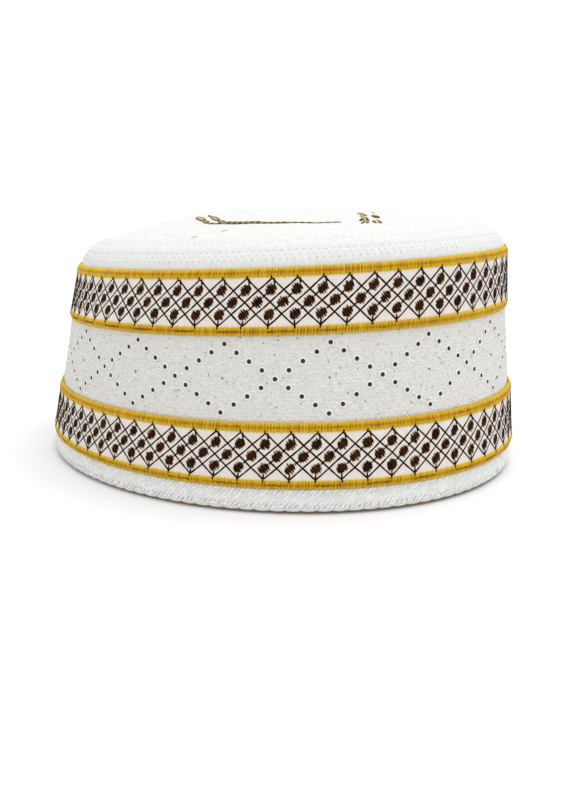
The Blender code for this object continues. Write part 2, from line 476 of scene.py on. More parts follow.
def stitchShape(sides, rings, blunt=0.75, arch=0.0):
    # a rounded stitch 2 long, 2 wide and 2 high, lying along X, its middle raised by the arch
    mesh = bmesh.new()
    bmesh.ops.create_uvsphere(mesh, u_segments=sides, v_segments=rings, radius=1)
    bmesh.ops.rotate(mesh, verts=mesh.verts[:], matrix=Matrix.Rotation(math.pi / 2, 3, "Y"))
    for vert in mesh.verts:
        thin = math.hypot(vert.co.y, vert.co.z)
        if thin > 1e-6:
            swell = thin ** blunt / thin
            vert.co.y, vert.co.z = vert.co.y * swell, vert.co.z * swell
        vert.co.z += arch * (1 - vert.co.x ** 2)
    return shapeOf(mesh)


fineStitch = stitchShape(4, 4)
plainStitch = stitchShape(6, 4)
longStitch = stitchShape(6, 4, 0.35)
fullStitch = stitchShape(6, 6)
archedStitch = stitchShape(6, 4, arch=1.0)


def sew(name, finish, shape, starts, stops, normals, look):
    # the look holds the stitches' width and depth, and their tones where these aren't left to chance
    middles, along = (starts + stops) / 2, (stops - starts) / 2
    across = unit(np.cross(normals, along))
    upright = unit(np.cross(along, across))
    width, depth = (np.atleast_1d(look[size])[:, None] / 2 for size in ("width", "depth"))
    piece = repeated(name, shape, middles, along, across * width, upright * depth, look.get("tones"))
    settle(piece, finish)


def sewOnWall(name, finish, shape, begins, ends, look):
    # from and to pairs of a share of the way round and a height; two outsets are one for each end
    outset = look["outset"]
    first, last = outset if isinstance(outset, tuple) else (outset, outset)
    starts, stops = wallPoints(*begins.T, first), wallPoints(*ends.T, last)
    sew(name, finish, shape, starts, stops, wallNormals(*(begins + ends).T / 2), look)


def sewOnCrown(name, finish, shape, begins, ends, look):
    # from and to pairs of a share of the way round and a share of the reach
    starts, stops = (crownPoints(*end.T, look["outset"] + crownRelief(*end.T)) for end in (begins, ends))
    normals = crownNormals(begins[:, 0], (begins[:, 1] + ends[:, 1]) / 2)
    sew(name, finish, shape, starts, stops, normals, look)


def spun(section, steps):
    # a closed section carried once round the Z axis
    mesh = bmesh.new()
    verts = [mesh.verts.new(point) for point in section]
    edges = [mesh.edges.new(ends) for ends in zip(verts, verts[1:] + verts[:1])]
    bmesh.ops.spin(
        mesh, geom=verts + edges, cent=(0, 0, 0), axis=(0, 0, 1), dvec=(0, 0, 0),
        angle=2 * math.pi, steps=steps, use_merge=True,
    )
    bmesh.ops.remove_doubles(mesh, verts=mesh.verts[:], dist=1e-6)
    bmesh.ops.recalc_face_normals(mesh, faces=mesh.faces[:])
    return mesh


spinRadius = 1.0  # a swept cloth is first spun about the Z axis at this radius


def sweptCloth(name, section, steps, place, roundMm):
    # spins a section of outsets and heights, lays it round the cap and marks its own millimetres on it
    mesh = spun([(0, -spinRadius - outset, height) for outset, height in section], steps)
    data = bpy.data.meshes.new(name)
    mesh.to_mesh(data)
    mesh.free()
    points = np.zeros(len(data.vertices) * 3, np.float32)
    data.vertices.foreach_get("co", points)
    points = points.reshape(-1, 3).astype(float)
    radii = np.hypot(points[:, 0], points[:, 1])
    shares = np.arctan2(points[:, 0], -points[:, 1]) / (2 * math.pi) % 1.0
    shares[shares > 1 - 1e-5] = 0.0
    placed, upMm = place(shares, radii, points[:, 2])
    data.vertices.foreach_set("co", placed.astype(np.float32).ravel())
    corner = np.zeros(len(data.loops), np.int32)
    data.loops.foreach_get("vertex_index", corner)
    firsts = np.zeros(len(data.polygons), np.int32)
    data.polygons.foreach_get("loop_start", firsts)
    sizes = np.diff(np.append(firsts, len(corner)))
    around = shares[corner]
    furthest = np.repeat(np.maximum.reduceat(around, firsts), sizes)
    around = around + ((furthest - around) > 0.5)  # a face across the front goes on past 1
    markCloth(data, pairs(around * roundMm, upMm[corner]))
    data.update()
    return newPiece(name, data)


def clothOnWall(name, section, steps=240):
    def place(shares, radii, heights):
        outsets = radii - spinRadius
        return wallPoints(shares, heights, outsets), (heights + outsets) / mm

    middle = sum(height for _, height in section) / len(section)
    return sweptCloth(name, section, steps, place, roundLength(middle) / mm)


def sharpen(data, degrees):
    data.set_sharp_from_angle(angle=math.radians(degrees))


def frameOn(normals):
    across = unit(np.cross((0, 0, 1), normals))
    return across, np.cross(normals, across)


# The pierced wall
eyelets = {
    "diamonds": 16,
    "stepsAcross": 8,
    "turn": 0.18,  # the first crossing lies this share of a diamond before the front
    "margin": 2.8 * mm,
    "radius": 0.72 * mm,
    "inner": 0.72,  # the holes narrow inwards, so their sides show
    "reach": 1.3,  # how many walls deep the cutters are
    "prick": 0.26 * mm,
    "sides": 14,
    "steps": 288,  # round the pierced cloth
    "ringWidth": 0.60 * mm,
    "ringOutset": 0.1 * mm,
    "ringTone": 0.8,
}


def eyeletPlaces():
    steps = eyelets["stepsAcross"]
    climb = (cap["panel"] / 2 - eyelets["margin"]) / (steps / 2)
    places = []
    for step in range(eyelets["diamonds"] * steps):
        fromCrossing = min(step % steps, steps - step % steps)
        share = (step / steps - eyelets["turn"]) / eyelets["diamonds"]
        places.append((share, panelMiddle + fromCrossing * climb))
        if fromCrossing:
            places.append((share, panelMiddle - fromCrossing * climb))
    return np.array(places)


def framesOnWall(places, outset):
    normals = wallNormals(*places.T)
    return wallPoints(*places.T, outset), *frameOn(normals), normals


def makeCutters(places):
    # a tapered prism for each eyelet, and a thin one in the middle of each diamond
    prism = bmesh.new()
    bmesh.ops.create_cone(
        prism, cap_ends=True, segments=eyelets["sides"], radius1=eyelets["inner"], radius2=1, depth=1
    )
    number = np.arange(eyelets["diamonds"])
    pricks = pairs((number + 0.5 - eyelets["turn"]) / eyelets["diamonds"], panelMiddle)
    sizes = np.array([eyelets["radius"]] * len(places) + [eyelets["prick"]] * len(pricks))[:, None]
    points, across, upward, normals = framesOnWall(np.concatenate((places, pricks)), -cap["wall"] / 2)
    depths = normals * eyelets["reach"] * cap["wall"]
    cutters = repeated("cutters", shapeOf(prism), points, across * sizes, upward * sizes, depths)
    # the cut faces take the sides' painted shade, dark for the shade inside the holes
    cutters.data.materials.append(finishes["sides"])
    return cutters


def makeWall(places):
    heights = [cap["hem"] + cap["gap"], *planHeights[1:]]
    outside = [(0, height) for height in heights]
    inside = [(-cap["wall"], height) for height in reversed(heights)]
    wall = clothOnWall("side_wall_cloth", outside + inside, eyelets["steps"])
    wall.data.materials.append(finishes["panel"])
    cutters = makeCutters(places)
    cut = wall.modifiers.new("eyelets", "BOOLEAN")
    cut.operation, cut.object, cut.material_mode = "DIFFERENCE", cutters, "TRANSFER"
    pierced = bpy.data.meshes.new_from_object(wall.evaluated_get(bpy.context.evaluated_depsgraph_get()))
    wall.modifiers.clear()
    wall.data = pierced
    bpy.data.objects.remove(cutters, do_unlink=True)
    # which faces are the holes' sides, so they keep their painted shade after settling
    sides = np.zeros(len(pierced.polygons), np.int32)
    pierced.polygons.foreach_get("material_index", sides)
    settle(wall, "panel", ["side_wall"])
    pierced.materials.append(finishes["sides"])
    pierced.polygons.foreach_set("material_index", sides)
    sharpen(pierced, 40)


ringLook = {"sides": 6, "steps": 18, "seat": 0.85, "flat": 0.8, "whips": 9, "whipHeight": 0.28}


def ringShape(radius, width):
    # a ring of thread, whipped round a hole
    thick = width / 2
    middle = radius + thick * ringLook["seat"]
    turns = np.linspace(0, 2 * math.pi, ringLook["sides"], endpoint=False)
    section = [
        (middle + thick * math.cos(turn), 0, thick * ringLook["flat"] * math.sin(turn)) for turn in turns
    ]
    mesh = spun(section, ringLook["steps"])
    for vert in mesh.verts:
        around = math.atan2(vert.co.y, vert.co.x)
        vert.co.z *= 1 + ringLook["whipHeight"] * math.cos(ringLook["whips"] * around)
    return shapeOf(mesh)


def makeRings(places):
    shape = ringShape(eyelets["radius"], eyelets["ringWidth"])
    frames = framesOnWall(places, eyelets["ringOutset"])
    settle(repeated("eyelet_rings", shape, *frames, eyelets["ringTone"]), "white")


# Short stitches fill the panel between the eyelets
fill = {
    "rowPitch": 1.25 * mm,
    "firstRow": 0.8,
    "pitch": 1.85 * mm,
    "strayAlong": 0.22,  # shares of the pitch
    "strayUp": 0.12,
    "turn": 0.45,
    "length": 1.2 * mm,
    "lengths": (0.6, 1.2),
    "width": 0.5 * mm,
    "depth": 0.46 * mm,
    "outset": 0.02 * mm,
    "clear": 1.7 * mm,
}


def makeFill(places):
    length = roundLength(panelMiddle)
    rows = int(cap["panel"] / fill["rowPitch"]) - 1
    perRow = int(length / fill["pitch"])
    row, place = (grid.ravel() for grid in np.meshgrid(np.arange(rows), np.arange(perRow), indexing="ij"))
    heights = panelFoot + (row + fill["firstRow"]) * fill["rowPitch"]
    shares = (place + 0.5 * (row % 2)) / perRow
    shares = shares + chance.normal(0, fill["strayAlong"], len(shares)) * fill["pitch"] / length
    heights = heights + chance.normal(0, fill["strayUp"], len(heights)) * fill["rowPitch"]
    apart = (shares[:, None] - places[None, :, 0] + 0.5) % 1.0 - 0.5
    near = np.hypot(apart * length, heights[:, None] - places[None, :, 1]).min(axis=1) < fill["clear"]
    shares, heights = shares[~near], heights[~near]
    angles = chance.normal(0.0, fill["turn"], len(shares))
    half = fill["length"] / 2 * chance.uniform(*fill["lengths"], len(shares))
    step = pairs(np.cos(angles) * half / length, np.sin(angles) * half)
    middle = pairs(shares, heights)
    sewOnWall("panel_stitches", "white", fineStitch, middle - step, middle + step, fill)


# Ribbons with their lattice of thread
lattices = {
    "lower": {"foot": lowerFoot, "cells": 70, "turn": 0.20, "firstDashed": 0},
    "upper": {"foot": upperFoot, "cells": 66, "turn": -0.35, "firstDashed": 1},
}
ribbon = {"rows": 5, "tuck": 0.1 * mm}  # its edges go in under the borders
lattice = {
    "span": 2,  # cells that a diagonal crosses on its way up
    "stitches": 8,
    "overlap": 0.12,
    "width": 0.60 * mm,
    "widths": (0.88, 1.1),
    "depth": 0.26 * mm,
    "edge": 0.30 * mm,
    "wobble": 0.07 * mm,
    "lift": 0.06 * mm,  # one set of diagonals crosses over the other
}


def makeRibbon(which):
    foot = lattices[which]["foot"]
    rows = np.linspace(foot - ribbon["tuck"], foot + cap["band"] + ribbon["tuck"], ribbon["rows"])
    outer = [(ribbonTop, height) for height in rows]
    inner = [(cap["gap"], height) for height in reversed(rows)]
    piece = clothOnWall(f"{which}_ribbon", outer + inner)
    settle(piece, "ribbon", [f"{which}_band"])
    sharpen(piece.data, 50)


def makeLattice(which):
    cells, turn = lattices[which]["cells"], lattices[which]["turn"]
    low = lattices[which]["foot"] + lattice["edge"]
    clear = cap["band"] - 2 * lattice["edge"]
    count = lattice["stitches"]
    steps = np.arange(count) / count
    parts = pairs(steps, steps + 1 / count)
    begins, ends, lifts = [], [], []
    for way in (1, -1):
        for number in range(cells):
            shares = (number + turn + way * lattice["span"] * parts) / cells
            wobble = chance.normal(0, lattice["wobble"], count + 1)
            wobble[0] = wobble[-1] = 0
            heights = low + clear * parts + pairs(wobble[:-1], wobble[1:])
            begins.append(pairs(shares[:, 0], heights[:, 0]))
            ends.append(pairs(shares[:, 1], heights[:, 1]))
            lifts.append(np.full(count, 0.0 if way > 0 else lattice["lift"]))
    begins, ends = np.concatenate(begins), np.concatenate(ends)
    overlap = (ends - begins) * lattice["overlap"]
    width = lattice["width"] * chance.uniform(*lattice["widths"], len(begins))
    look = {**lattice, "outset": ribbonTop + np.concatenate(lifts), "width": width}
    sewOnWall(f"{which}_lattice", "dark", longStitch, begins - overlap, ends + overlap, look)


# Each dot is a zigzag of strokes that travels up and along
dots = {
    "rows": table("cell level", (0.0, 0.25), (0.5, 0.5), (0.0, 0.75)),  # shares of a cell and of the band
    "strokes": 9,
    "travel": 3.0 * mm,
    "travelAngle": 40,
    "strokeAngle": -54,
    "zigzag": 5,
    "sway": 3,
    "length": 3.95 * mm,
    "lengths": (0.84, 1.1),
    "taper": 0.72,  # the first and last strokes are shorter
    "shift": 0.13 * mm,
    "width": 0.66 * mm,
    "widths": (0.85, 1.12),
    "depth": 0.30 * mm,
    "outset": ribbonTop + 0.05 * mm,
}


def slanted(degrees):
    return Vector((math.cos(math.radians(degrees)), math.sin(math.radians(degrees))))


def makeDots(which):
    cells, turn, foot = (lattices[which][size] for size in ("cells", "turn", "foot"))
    length = roundLength(foot + cap["band"] / 2)
    travel = slanted(dots["travelAngle"]) * dots["travel"] / 2
    begins, ends, widths = [], [], []
    for row in dots["rows"]:
        height = foot + cap["band"] * row.level
        for number in range(cells):
            share = (number + row.cell + turn) / cells
            for stroke in range(dots["strokes"]):
                part = 2 * stroke / (dots["strokes"] - 1) - 1
                zigzag = dots["zigzag"] if stroke % 2 else -dots["zigzag"]
                slant = slanted(dots["strokeAngle"] + zigzag + chance.normal(0, dots["sway"]))
                half = dots["length"] / 2 * math.sqrt(1 - dots["taper"] * part ** 2)
                reach = slant * (half * chance.uniform(*dots["lengths"]))
                middle = travel * part + slant * chance.normal(0, dots["shift"])
                begins.append((share + (middle.x - reach.x) / length, height + middle.y - reach.y))
                ends.append((share + (middle.x + reach.x) / length, height + middle.y + reach.y))
                widths.append(dots["width"] * chance.uniform(*dots["widths"]))
    look = {**dots, "width": widths}
    sewOnWall(f"{which}_dots", "brown", plainStitch, np.array(begins), np.array(ends), look)


# The thread jumps from tip to dot, from dot to dot and back to a tip, and then runs along the border
jumps = {
    "rows": table(  # cells along and shares of the band's height
        "fromCell fromLevel toCell toLevel",
        (0.00, 0.01, 0.00, 0.14),
        (0.17, 0.33, 0.36, 0.43),
        (0.67, 0.58, 0.84, 0.68),
        (0.12, 0.84, 0.08, 0.99),
    ),
    "outset": ribbonTop + 0.08 * mm,
    "tails": ((0, -1), (1, 1)),  # short tails go on to the borders: level, and which way is outwards
    "tailSway": 0.02,
    "tailInside": 0.4 * mm,
    "tailOutside": 0.7 * mm,
    "tailOutset": ribbonTop + 0.25 * mm,
    "width": 0.62 * mm,
    "depth": 0.3 * mm,
}


def makeJumps(which):
    cells, turn, foot = (lattices[which][size] for size in ("cells", "turn", "foot"))
    begins, ends, outsets = [], [], []
    for number in range(cells):
        for row in jumps["rows"]:
            begins.append(((number + row.fromCell + turn) / cells, foot + cap["band"] * row.fromLevel))
            ends.append(((number + row.toCell + turn) / cells, foot + cap["band"] * row.toLevel))
            outsets.append(jumps["outset"])
        for level, way in jumps["tails"]:
            height = foot + cap["band"] * level
            share = (number + turn + jumps["tailSway"] * chance.normal()) / cells
            begins.append((share, height - way * jumps["tailInside"]))
            ends.append((share, height + way * jumps["tailOutside"]))
            outsets.append(jumps["tailOutset"])
    look = {**jumps, "outset": outsets}
    sewOnWall(f"{which}_jumps", "dark", plainStitch, np.array(begins), np.array(ends), look)


# Golden satin borders over a padded core
satin = {
    "pitch": 0.50 * mm,
    "sway": 0.05,  # share of the pitch
    "lean": (0.12, 0.05),
    "width": 0.66 * mm,
    "depth": 0.70 * mm,
    "core": 0.68 * mm,
    "coreEdge": 0.15 * mm,
    "coreRise": (0.7, 0.20 * mm),  # at this share of its depth the core has risen so far
    "coreFull": 0.35,  # share of the border's height where the core is at its full depth
    "edge": 0.38 * mm,  # where a stitch's end meets the plain cloth, out from it
    "over": (0.20 * mm, 0.52 * mm),  # how far the stitches run on to the cloth, short and long in turn
    "overs": (0.8, 1.25),
    "swing": 0.1,  # tones in turn
    "toneRange": (0, 0.4),
}
dashes = {"perCell": 9, "sway": 0.03, "outset": 1.24 * mm, "width": 0.8 * mm, "depth": 0.34 * mm}


def makeBorder(number, foot):
    reach, (part, rise) = cap["gap"] + satin["core"], satin["coreRise"]
    full = cap["border"] * satin["coreFull"]
    halfCore = ((cap["gap"], satin["coreEdge"]), (reach * part, rise), (reach, full))
    section = [(outset, foot + up) for outset, up in halfCore]
    section += [(outset, foot + cap["border"] - up) for outset, up in reversed(halfCore)]
    core = clothOnWall(f"border_{number}_core", section)
    settle(core, "gold", [f"border_{number}"])
    length = roundLength(foot)
    count = int(length / satin["pitch"])
    odd = np.arange(count) % 2
    shares = (np.arange(count) + chance.normal(0, satin["sway"], count)) / count
    lean = chance.normal(*satin["lean"], count) * satin["pitch"] / length
    over = np.where(odd, *satin["over"])
    low = foot - over * chance.uniform(*satin["overs"], count)
    high = foot + cap["border"] + over * chance.uniform(*satin["overs"], count)
    tones = np.where(odd, -satin["swing"], satin["swing"]) + chance.uniform(*satin["toneRange"], count)
    outsets = (satin["edge"], ribbonTop) if number % 2 else (ribbonTop, satin["edge"])
    sewOnWall(
        f"border_{number}_satin", "gold", archedStitch,
        pairs(shares - lean, low), pairs(shares + lean, high), {**satin, "outset": outsets, "tones": tones},
    )


def makeDashes(number, foot, which):
    # dark running stitches show along the middle of the border at every second cell
    sizes, each = lattices[which], dashes["perCell"]
    dashed = np.arange(sizes["firstDashed"], sizes["cells"], 2)
    cell, part = np.meshgrid(dashed, (np.arange(each) + 0.5) / each, indexing="ij")
    shares = (cell.ravel() + part.ravel() + sizes["turn"]) / sizes["cells"]
    half = 0.5 / each / sizes["cells"]
    heights = foot + cap["border"] * (0.5 + chance.normal(0, dashes["sway"], len(shares)))
    sewOnWall(
        f"border_{number}_dashes", "rust", plainStitch,
        pairs(shares - half, heights), pairs(shares + half, heights), dashes,
    )


# The hem is knitted in slanted rows over a padded core, and a cord runs along its foot
hem = {
    "section": table(  # mm out from the wall's foot and up, and a share of the hem's height to add
        "outset up share",
        (-2.0, 0.0, 0),
        (-1.9, 1.0, 0),
        (-1.3, 1.6, 0),
        (-0.6, 1.9, 0),
        (-0.05, 3.0, 0),
        (0.15, 0.0, 0.5),
        (0.0, -0.2, 1),
        (-0.3, 0.0, 1),
        (-3.0, 0.0, 1),
        (-3.0, 0.9, 0),
        (-2.7, 0.2, 0),
        (-2.2, 0.0, 0),
    ),
    "paintedShadeTop": 2.0 * mm,  # below this the core is painted with shade, dark for the shadow under the hem
    "rows": 6,
    "rowFoot": 2.6 * mm,
    "rowHead": 0.9 * mm,  # the last row lies this far below the hem's top
    "pitch": 1.6 * mm,
    "length": 2.1 * mm,
    "width": 1.1 * mm,
    "depth": 0.42 * mm,
    "outset": 0.06 * mm,
    "slant": 40,
    "slantSway": 10,
    "strayAlong": 0.12,
    "strayUp": 0.05 * mm,
}
hemCord = {
    "level": 1.9 * mm,
    "outset": -0.70 * mm,
    "pitch": 5.1 * mm,
    "overlap": 0.6,
    "width": 2.1 * mm,
    "depth": 1.5 * mm,
    "tones": 0.6,
}


def makeHem():
    top = cap["hem"]
    section = [(row.outset * mm, row.up * mm + row.share * top) for row in hem["section"]]
    core = clothOnWall("hem_core", section)
    settle(core, "hem", ["hem"])
    # faces low on the core take painted shade, for the shadow between the hem and the floor
    core.data.materials.append(finishes["under"])
    for face in core.data.polygons:
        face.material_index = int(face.center.z < hem["paintedShadeTop"])
    length = roundLength(top / 2)
    count = int(length / hem["pitch"])
    begins, ends = [], []
    for row, height in enumerate(np.linspace(hem["rowFoot"], top - hem["rowHead"], hem["rows"])):
        shares = (np.arange(count) + 0.5 * (row % 2) + chance.normal(0, hem["strayAlong"], count)) / count
        angles = np.radians(hem["slant"] + chance.normal(0, hem["slantSway"], count))
        alongBy, upBy = np.cos(angles) * hem["length"] / 2 / length, np.sin(angles) * hem["length"] / 2
        heights = height + chance.normal(0, hem["strayUp"], count)
        upBy = np.minimum(upBy, heights - hemCord["level"])
        begins.append(pairs(shares - alongBy, heights - upBy))
        ends.append(pairs(shares + alongBy, heights + upBy))
    begins, ends = np.concatenate(begins), np.concatenate(ends)
    sewOnWall("hem_rows", "cord", plainStitch, begins, ends, hem)


def makeHemCord():
    count = int(roundLength(cap["hem"] / 2) / hemCord["pitch"])
    shares, half = np.arange(count) / count, hemCord["overlap"] / count
    begins, ends = (pairs(shares + way * half, hemCord["level"]) for way in (-1, 1))
    sewOnWall("hem_edge", "cord", fullStitch, begins, ends, hemCord)


# The crown: a quilted dome, its rows of stitches, a short seam and two vents on each half
crown = {
    "thickness": 2 * mm,
    "tuck": 0.25 * mm,  # the edge reaches down behind the top border
    "rings": 96,
    "innerRings": 16,
    "steps": 288,
    "shoulder": (0.35, 0.88),  # this share of the rings lies outside this reach
    "rows": table(  # each row's place, its stitches' size and how far it sinks, in mm
        "reach long tall dip",
        (0.990, 0.6, 1.2, 0.05),
        (0.980, 0.9, 0.5, 0.05),
        (0.967, 1.2, 0.9, 0.14),
        (0.925, 0.9, 0.6, 0.08),
        (0.908, 0.9, 0.6, 0.08),
        (0.885, 0.8, 0.5, 0.05),
        (0.735, 0.8, 0.5, 0.05),
        (0.300, 0.8, 0.5, 0.05),
        (0.285, 0.8, 0.5, 0.05),
    ),
    "dipWidth": 0.007,
    "waves": table(  # how often each goes round, how it twists, how often it crosses, and mm high
        "round twist cross start height",
        (7, 3, 9, 1.3, 0.16),
        (23, 20, 31, 0.0, 0.07),
    ),
    "sink": 0.2,
    "calm": (0.15, 0.1),  # shares of the reach at the edge and in the middle where the waves die down
}
quilting = {
    "stitch": 2.3 * mm,
    "depth": 0.2 * mm,
    "outset": 0.0,
    "seamFrom": (-62.7, 0.8),  # mm across and along from the middle
    "seamTo": (-68.8, -17.0),
    "seamWidth": 0.6 * mm,
    "seamPart": (0.2, 0.8),
}
vents = {
    "places": ((-65.1, -18.9), (-56.3, -24.2)),
    "size": 2.0 * mm,
    "ringWidth": 0.5 * mm,
    "ringTone": 0.5,
    "depth": 0.12 * mm,
}


def crownRelief(shares, reaches):
    # rows of stitches pull the cloth in, and it waves a little between them
    dips = sum(row.dip * np.exp(-((reaches - row.reach) / crown["dipWidth"]) ** 2) for row in crown["rows"])
    waves = sum(
        wave.height * np.sin(2 * math.pi * shares * wave.round + wave.twist * reaches)
        * np.sin(wave.cross * reaches + wave.start)
        for wave in crown["waves"]
    )
    edge, middle = crown["calm"]
    calm = np.clip((1 - reaches) / edge, 0, 1) * np.clip(reaches / middle, 0, 1)
    return (calm * (waves - crown["sink"]) - dips) * mm


def makeCrown():
    share, reach = crown["shoulder"]
    reaches = np.interp(np.linspace(0, 1, crown["rings"]), (0, share, 1), (1, reach, 0))
    outer = [(reach - spinRadius, 0.0) for reach in reaches]
    inner = [(reach - spinRadius, -1.0) for reach in (0.0, *np.linspace(0.1, 1, crown["innerRings"]))]

    def place(shares, radii, sides):
        outside = sides > -0.5
        seam = (~outside) & (radii > 0.999)
        relief = np.where(outside, crownRelief(shares, radii), -crown["thickness"])
        placed = crownPoints(shares, radii, relief)
        placed[outside & (radii > 0.9999), 2] -= crown["tuck"]
        inset = np.where(seam, 1 - crown["thickness"] / crownMean, radii)
        seamPoints = crownPoints(shares, np.minimum(inset, 1.0))
        seamPoints[:, 2] = crownPoints(shares, 1.0)[:, 2]
        placed[seam] = seamPoints[seam]
        return placed, radii * crownMean / mm

    length = roundLength(wallTop) / mm
    dome = sweptCloth("crown_cloth", outer + inner, crown["steps"], place, length)
    settle(dome, "crown", ["crown"])
    sharpen(dome.data, 60)


def crownPlaces(across, along):
    # shares of the way round and of the reach for places in metres from the crown's middle
    x, y = across / planHalfWidths[-1], along / planHalfLengths[-1]
    angles = (np.arctan2(y, x) + math.pi / 2) % (2 * math.pi) - math.pi / 2
    travel = planTravels[-1] / planTravels[-1][-1]
    return pairs(np.interp(angles, turnAngles, travel), np.hypot(x, y))


def makeQuilting():
    begins, ends, widths = [], [], []
    for row in crown["rows"]:
        length = roundLength(wallTop) * row.reach
        count = int(length / quilting["stitch"])
        shares = np.arange(count) / count + chance.random() / count
        half = row.long / 2 * mm / length
        begins.append(pairs(shares - half, row.reach))
        ends.append(pairs(shares + half, row.reach))
        widths.append(np.full(count, row.tall * mm))
    for half in (1, -1):
        start, end = (np.array(quilting[name]) * mm * half for name in ("seamFrom", "seamTo"))
        count = int(math.hypot(*(end - start)) / quilting["stitch"])
        for offset, sewn in zip(quilting["seamPart"], (begins, ends)):
            parts = (np.arange(count) + offset) / count
            sewn.append(crownPlaces(*(start + (end - start) * parts[:, None]).T))
        widths.append(np.full(count, quilting["seamWidth"]))
    begins, ends = np.concatenate(begins), np.concatenate(ends)
    look = {**quilting, "width": np.concatenate(widths)}
    sewOnCrown("crown_stitches", "bright", fineStitch, begins, ends, look)


def makeVents():
    # small sewn holes in the crown, each a ring of thread round a dimple painted grey for the shade in the
    # hole
    spots = np.array([(x * half, y * half) for half in (1, -1) for x, y in vents["places"]]) * mm
    shares, reaches = crownPlaces(*spots.T).T
    middles = crownPoints(shares, reaches, crownRelief(shares, reaches))
    normals = crownNormals(shares, reaches)
    across, upward = frameOn(normals)
    half = vents["size"] / 2
    ring = ringShape(half, vents["ringWidth"])
    rings = repeated("crown_vents", ring, middles, across, upward, normals, vents["ringTone"])
    settle(rings, "bright")
    # the dimples carry painted shade, grey for the hollow of each vent
    holes = repeated(
        "crown_vent_holes", fullStitch, middles, across * half, upward * half, normals * vents["depth"]
    )
    settle(holes, "dimple")


# The medallion: four sprays of satin leaves joined by twisted stems, half of it the other half turned
def sewnLines(*rows):
    # mm across and along from the crown's middle, and a thread from threadLooks
    return table("fromAcross fromAlong toAcross toAlong width finish", *rows)


def stemPoints(*rows):
    return table("across along width", *rows)


medallion = {
    "leaves": sewnLines(
        (-45.9, -1.7, -38.8, 10.8, 2.2, "cream"),
        (-48.6, -6.6, -45.9, -1.7, 1.8, "cream"),
        (-45.3, -8.9, -38.9, 2.4, 1.8, "cream"),
        (-48.4, -15.6, -45.3, -9.2, 2.0, "cream"),
    ),
    "strokes": sewnLines(
        (-38.6, 3.2, -36.2, 6.8, 1.2, "tan"),
        (-6.2, -42.4, -10.2, -48.8, 1.8, "tan"),
        (-6.4, -41.2, -11.0, -48.6, 1.2, "cream"),
        (-5.9, -48.0, -8.9, -53.4, 2.2, "tan"),
        (-7.7, -49.6, -10.6, -54.6, 2.0, "tan"),
        (-11.6, -53.6, -8.0, -52.8, 1.2, "olive"),
        (-10.6, -46.7, -14.6, -51.0, 2.0, "cream"),
        (-13.8, -50.6, -17.4, -54.4, 1.8, "cream"),
        (-13.2, -50.6, -18.4, -56.2, 1.2, "olive"),
        (-18.0, -55.8, -22.5, -58.6, 1.2, "olive"),
        (-20.4, -54.0, -16.2, -51.9, 1.3, "olive"),
        (-24.6, -57.9, -18.9, -55.1, 1.0, "tan"),
        (4.0, -40.0, -1.1, -45.5, 1.1, "cream"),
        (-17.0, -57.1, -19.7, -60.2, 1.3, "olive"),
        (-14.1, -56.3, -19.5, -60.9, 1.7, "cream"),
        (-15.2, -57.2, -18.3, -61.8, 1.3, "olive"),
    ),
    "stems": (
        stemPoints(
            (-47.8, -4.9, 0.9),
            (-49.2, -8.0, 1.0),
            (-49.4, -12.0, 1.1),
            (-48.6, -15.8, 1.5),
            (-46.9, -22.8, 1.6),
            (-44.7, -29.4, 1.4),
            (-39.5, -38.7, 0.9),
            (-34.2, -45.4, 0.5),
            (-27.4, -51.3, 0.4),
        ),
        stemPoints((-46.6, -11.0, 0.8), (-47.4, -14.0, 0.9), (-47.9, -18.0, 1.0)),
        stemPoints((-47.2, -15.2, 1.3), (-45.8, -22.0, 1.4), (-43.8, -28.6, 1.2)),
    ),
    "leafPitch": 0.6 * mm,
    "leafStroke": 0.7 * mm,
    "leafFill": 0.9,  # the strokes stop short of the leaf's outline
    "leafLean": 0.06,
    "leafSwell": (0.8, 0.7),  # fullest past the middle, with round ends
    "outline": 0.6 * mm,
    "outlineSteps": 9,
    "outlineTones": (0, 0.7),
    "strokeTones": (0.1, 0.9),
    "stemStitch": 1.25 * mm,
    "stemOverlap": 0.1,
    "stemTwist": 0.4,  # shares of the stem's width
    "stemThread": 0.8,
    "stemTones": (0.9, 0.1),  # in turn, for two twisted threads
    "depth": 0.8,  # share of a stroke's width
    "depths": (0.45 * mm, 0.8 * mm),
}
medallionPieces = table(
    "finish name lift",
    ("cream", "medallion_leaves", 0.05 * mm),
    ("tan", "medallion_buds", 0.08 * mm),
    ("olive", "medallion_lines", 0.16 * mm),
)


def lineEnds(line, half):
    return (
        Vector((line.fromAcross, line.fromAlong)) * mm * half,
        Vector((line.toAcross, line.toAlong)) * mm * half,
    )


def makeLeaf(leaf, half, strokes, lines):
    # satin strokes across the leaf, and a line of thread round it
    start, end = lineEnds(leaf, half)
    axis = (end - start).normalized()
    side = Vector((-axis.y, axis.x)) * leaf.width / 2 * mm
    skew, swell = medallion["leafSwell"]

    def edge(part, way):
        return start.lerp(end, part) + side * way * math.sin(math.pi * part ** skew) ** swell

    count = int((end - start).length / medallion["leafPitch"])
    for stroke in range(count):
        part = (stroke + 0.5) / count
        begin = edge(part, -medallion["leafFill"])
        finish = edge(min(part + medallion["leafLean"], 1.0), medallion["leafFill"])
        strokes.append((begin, finish, medallion["leafStroke"], chance.random()))
    steps = medallion["outlineSteps"]
    for way in (-1, 1):
        for step in range(steps):
            further = edge((step + 1.1) / steps, way) if step < steps - 1 else end
            tone = chance.uniform(*medallion["outlineTones"])
            lines.append((edge(step / steps, way), further, medallion["outline"], tone))


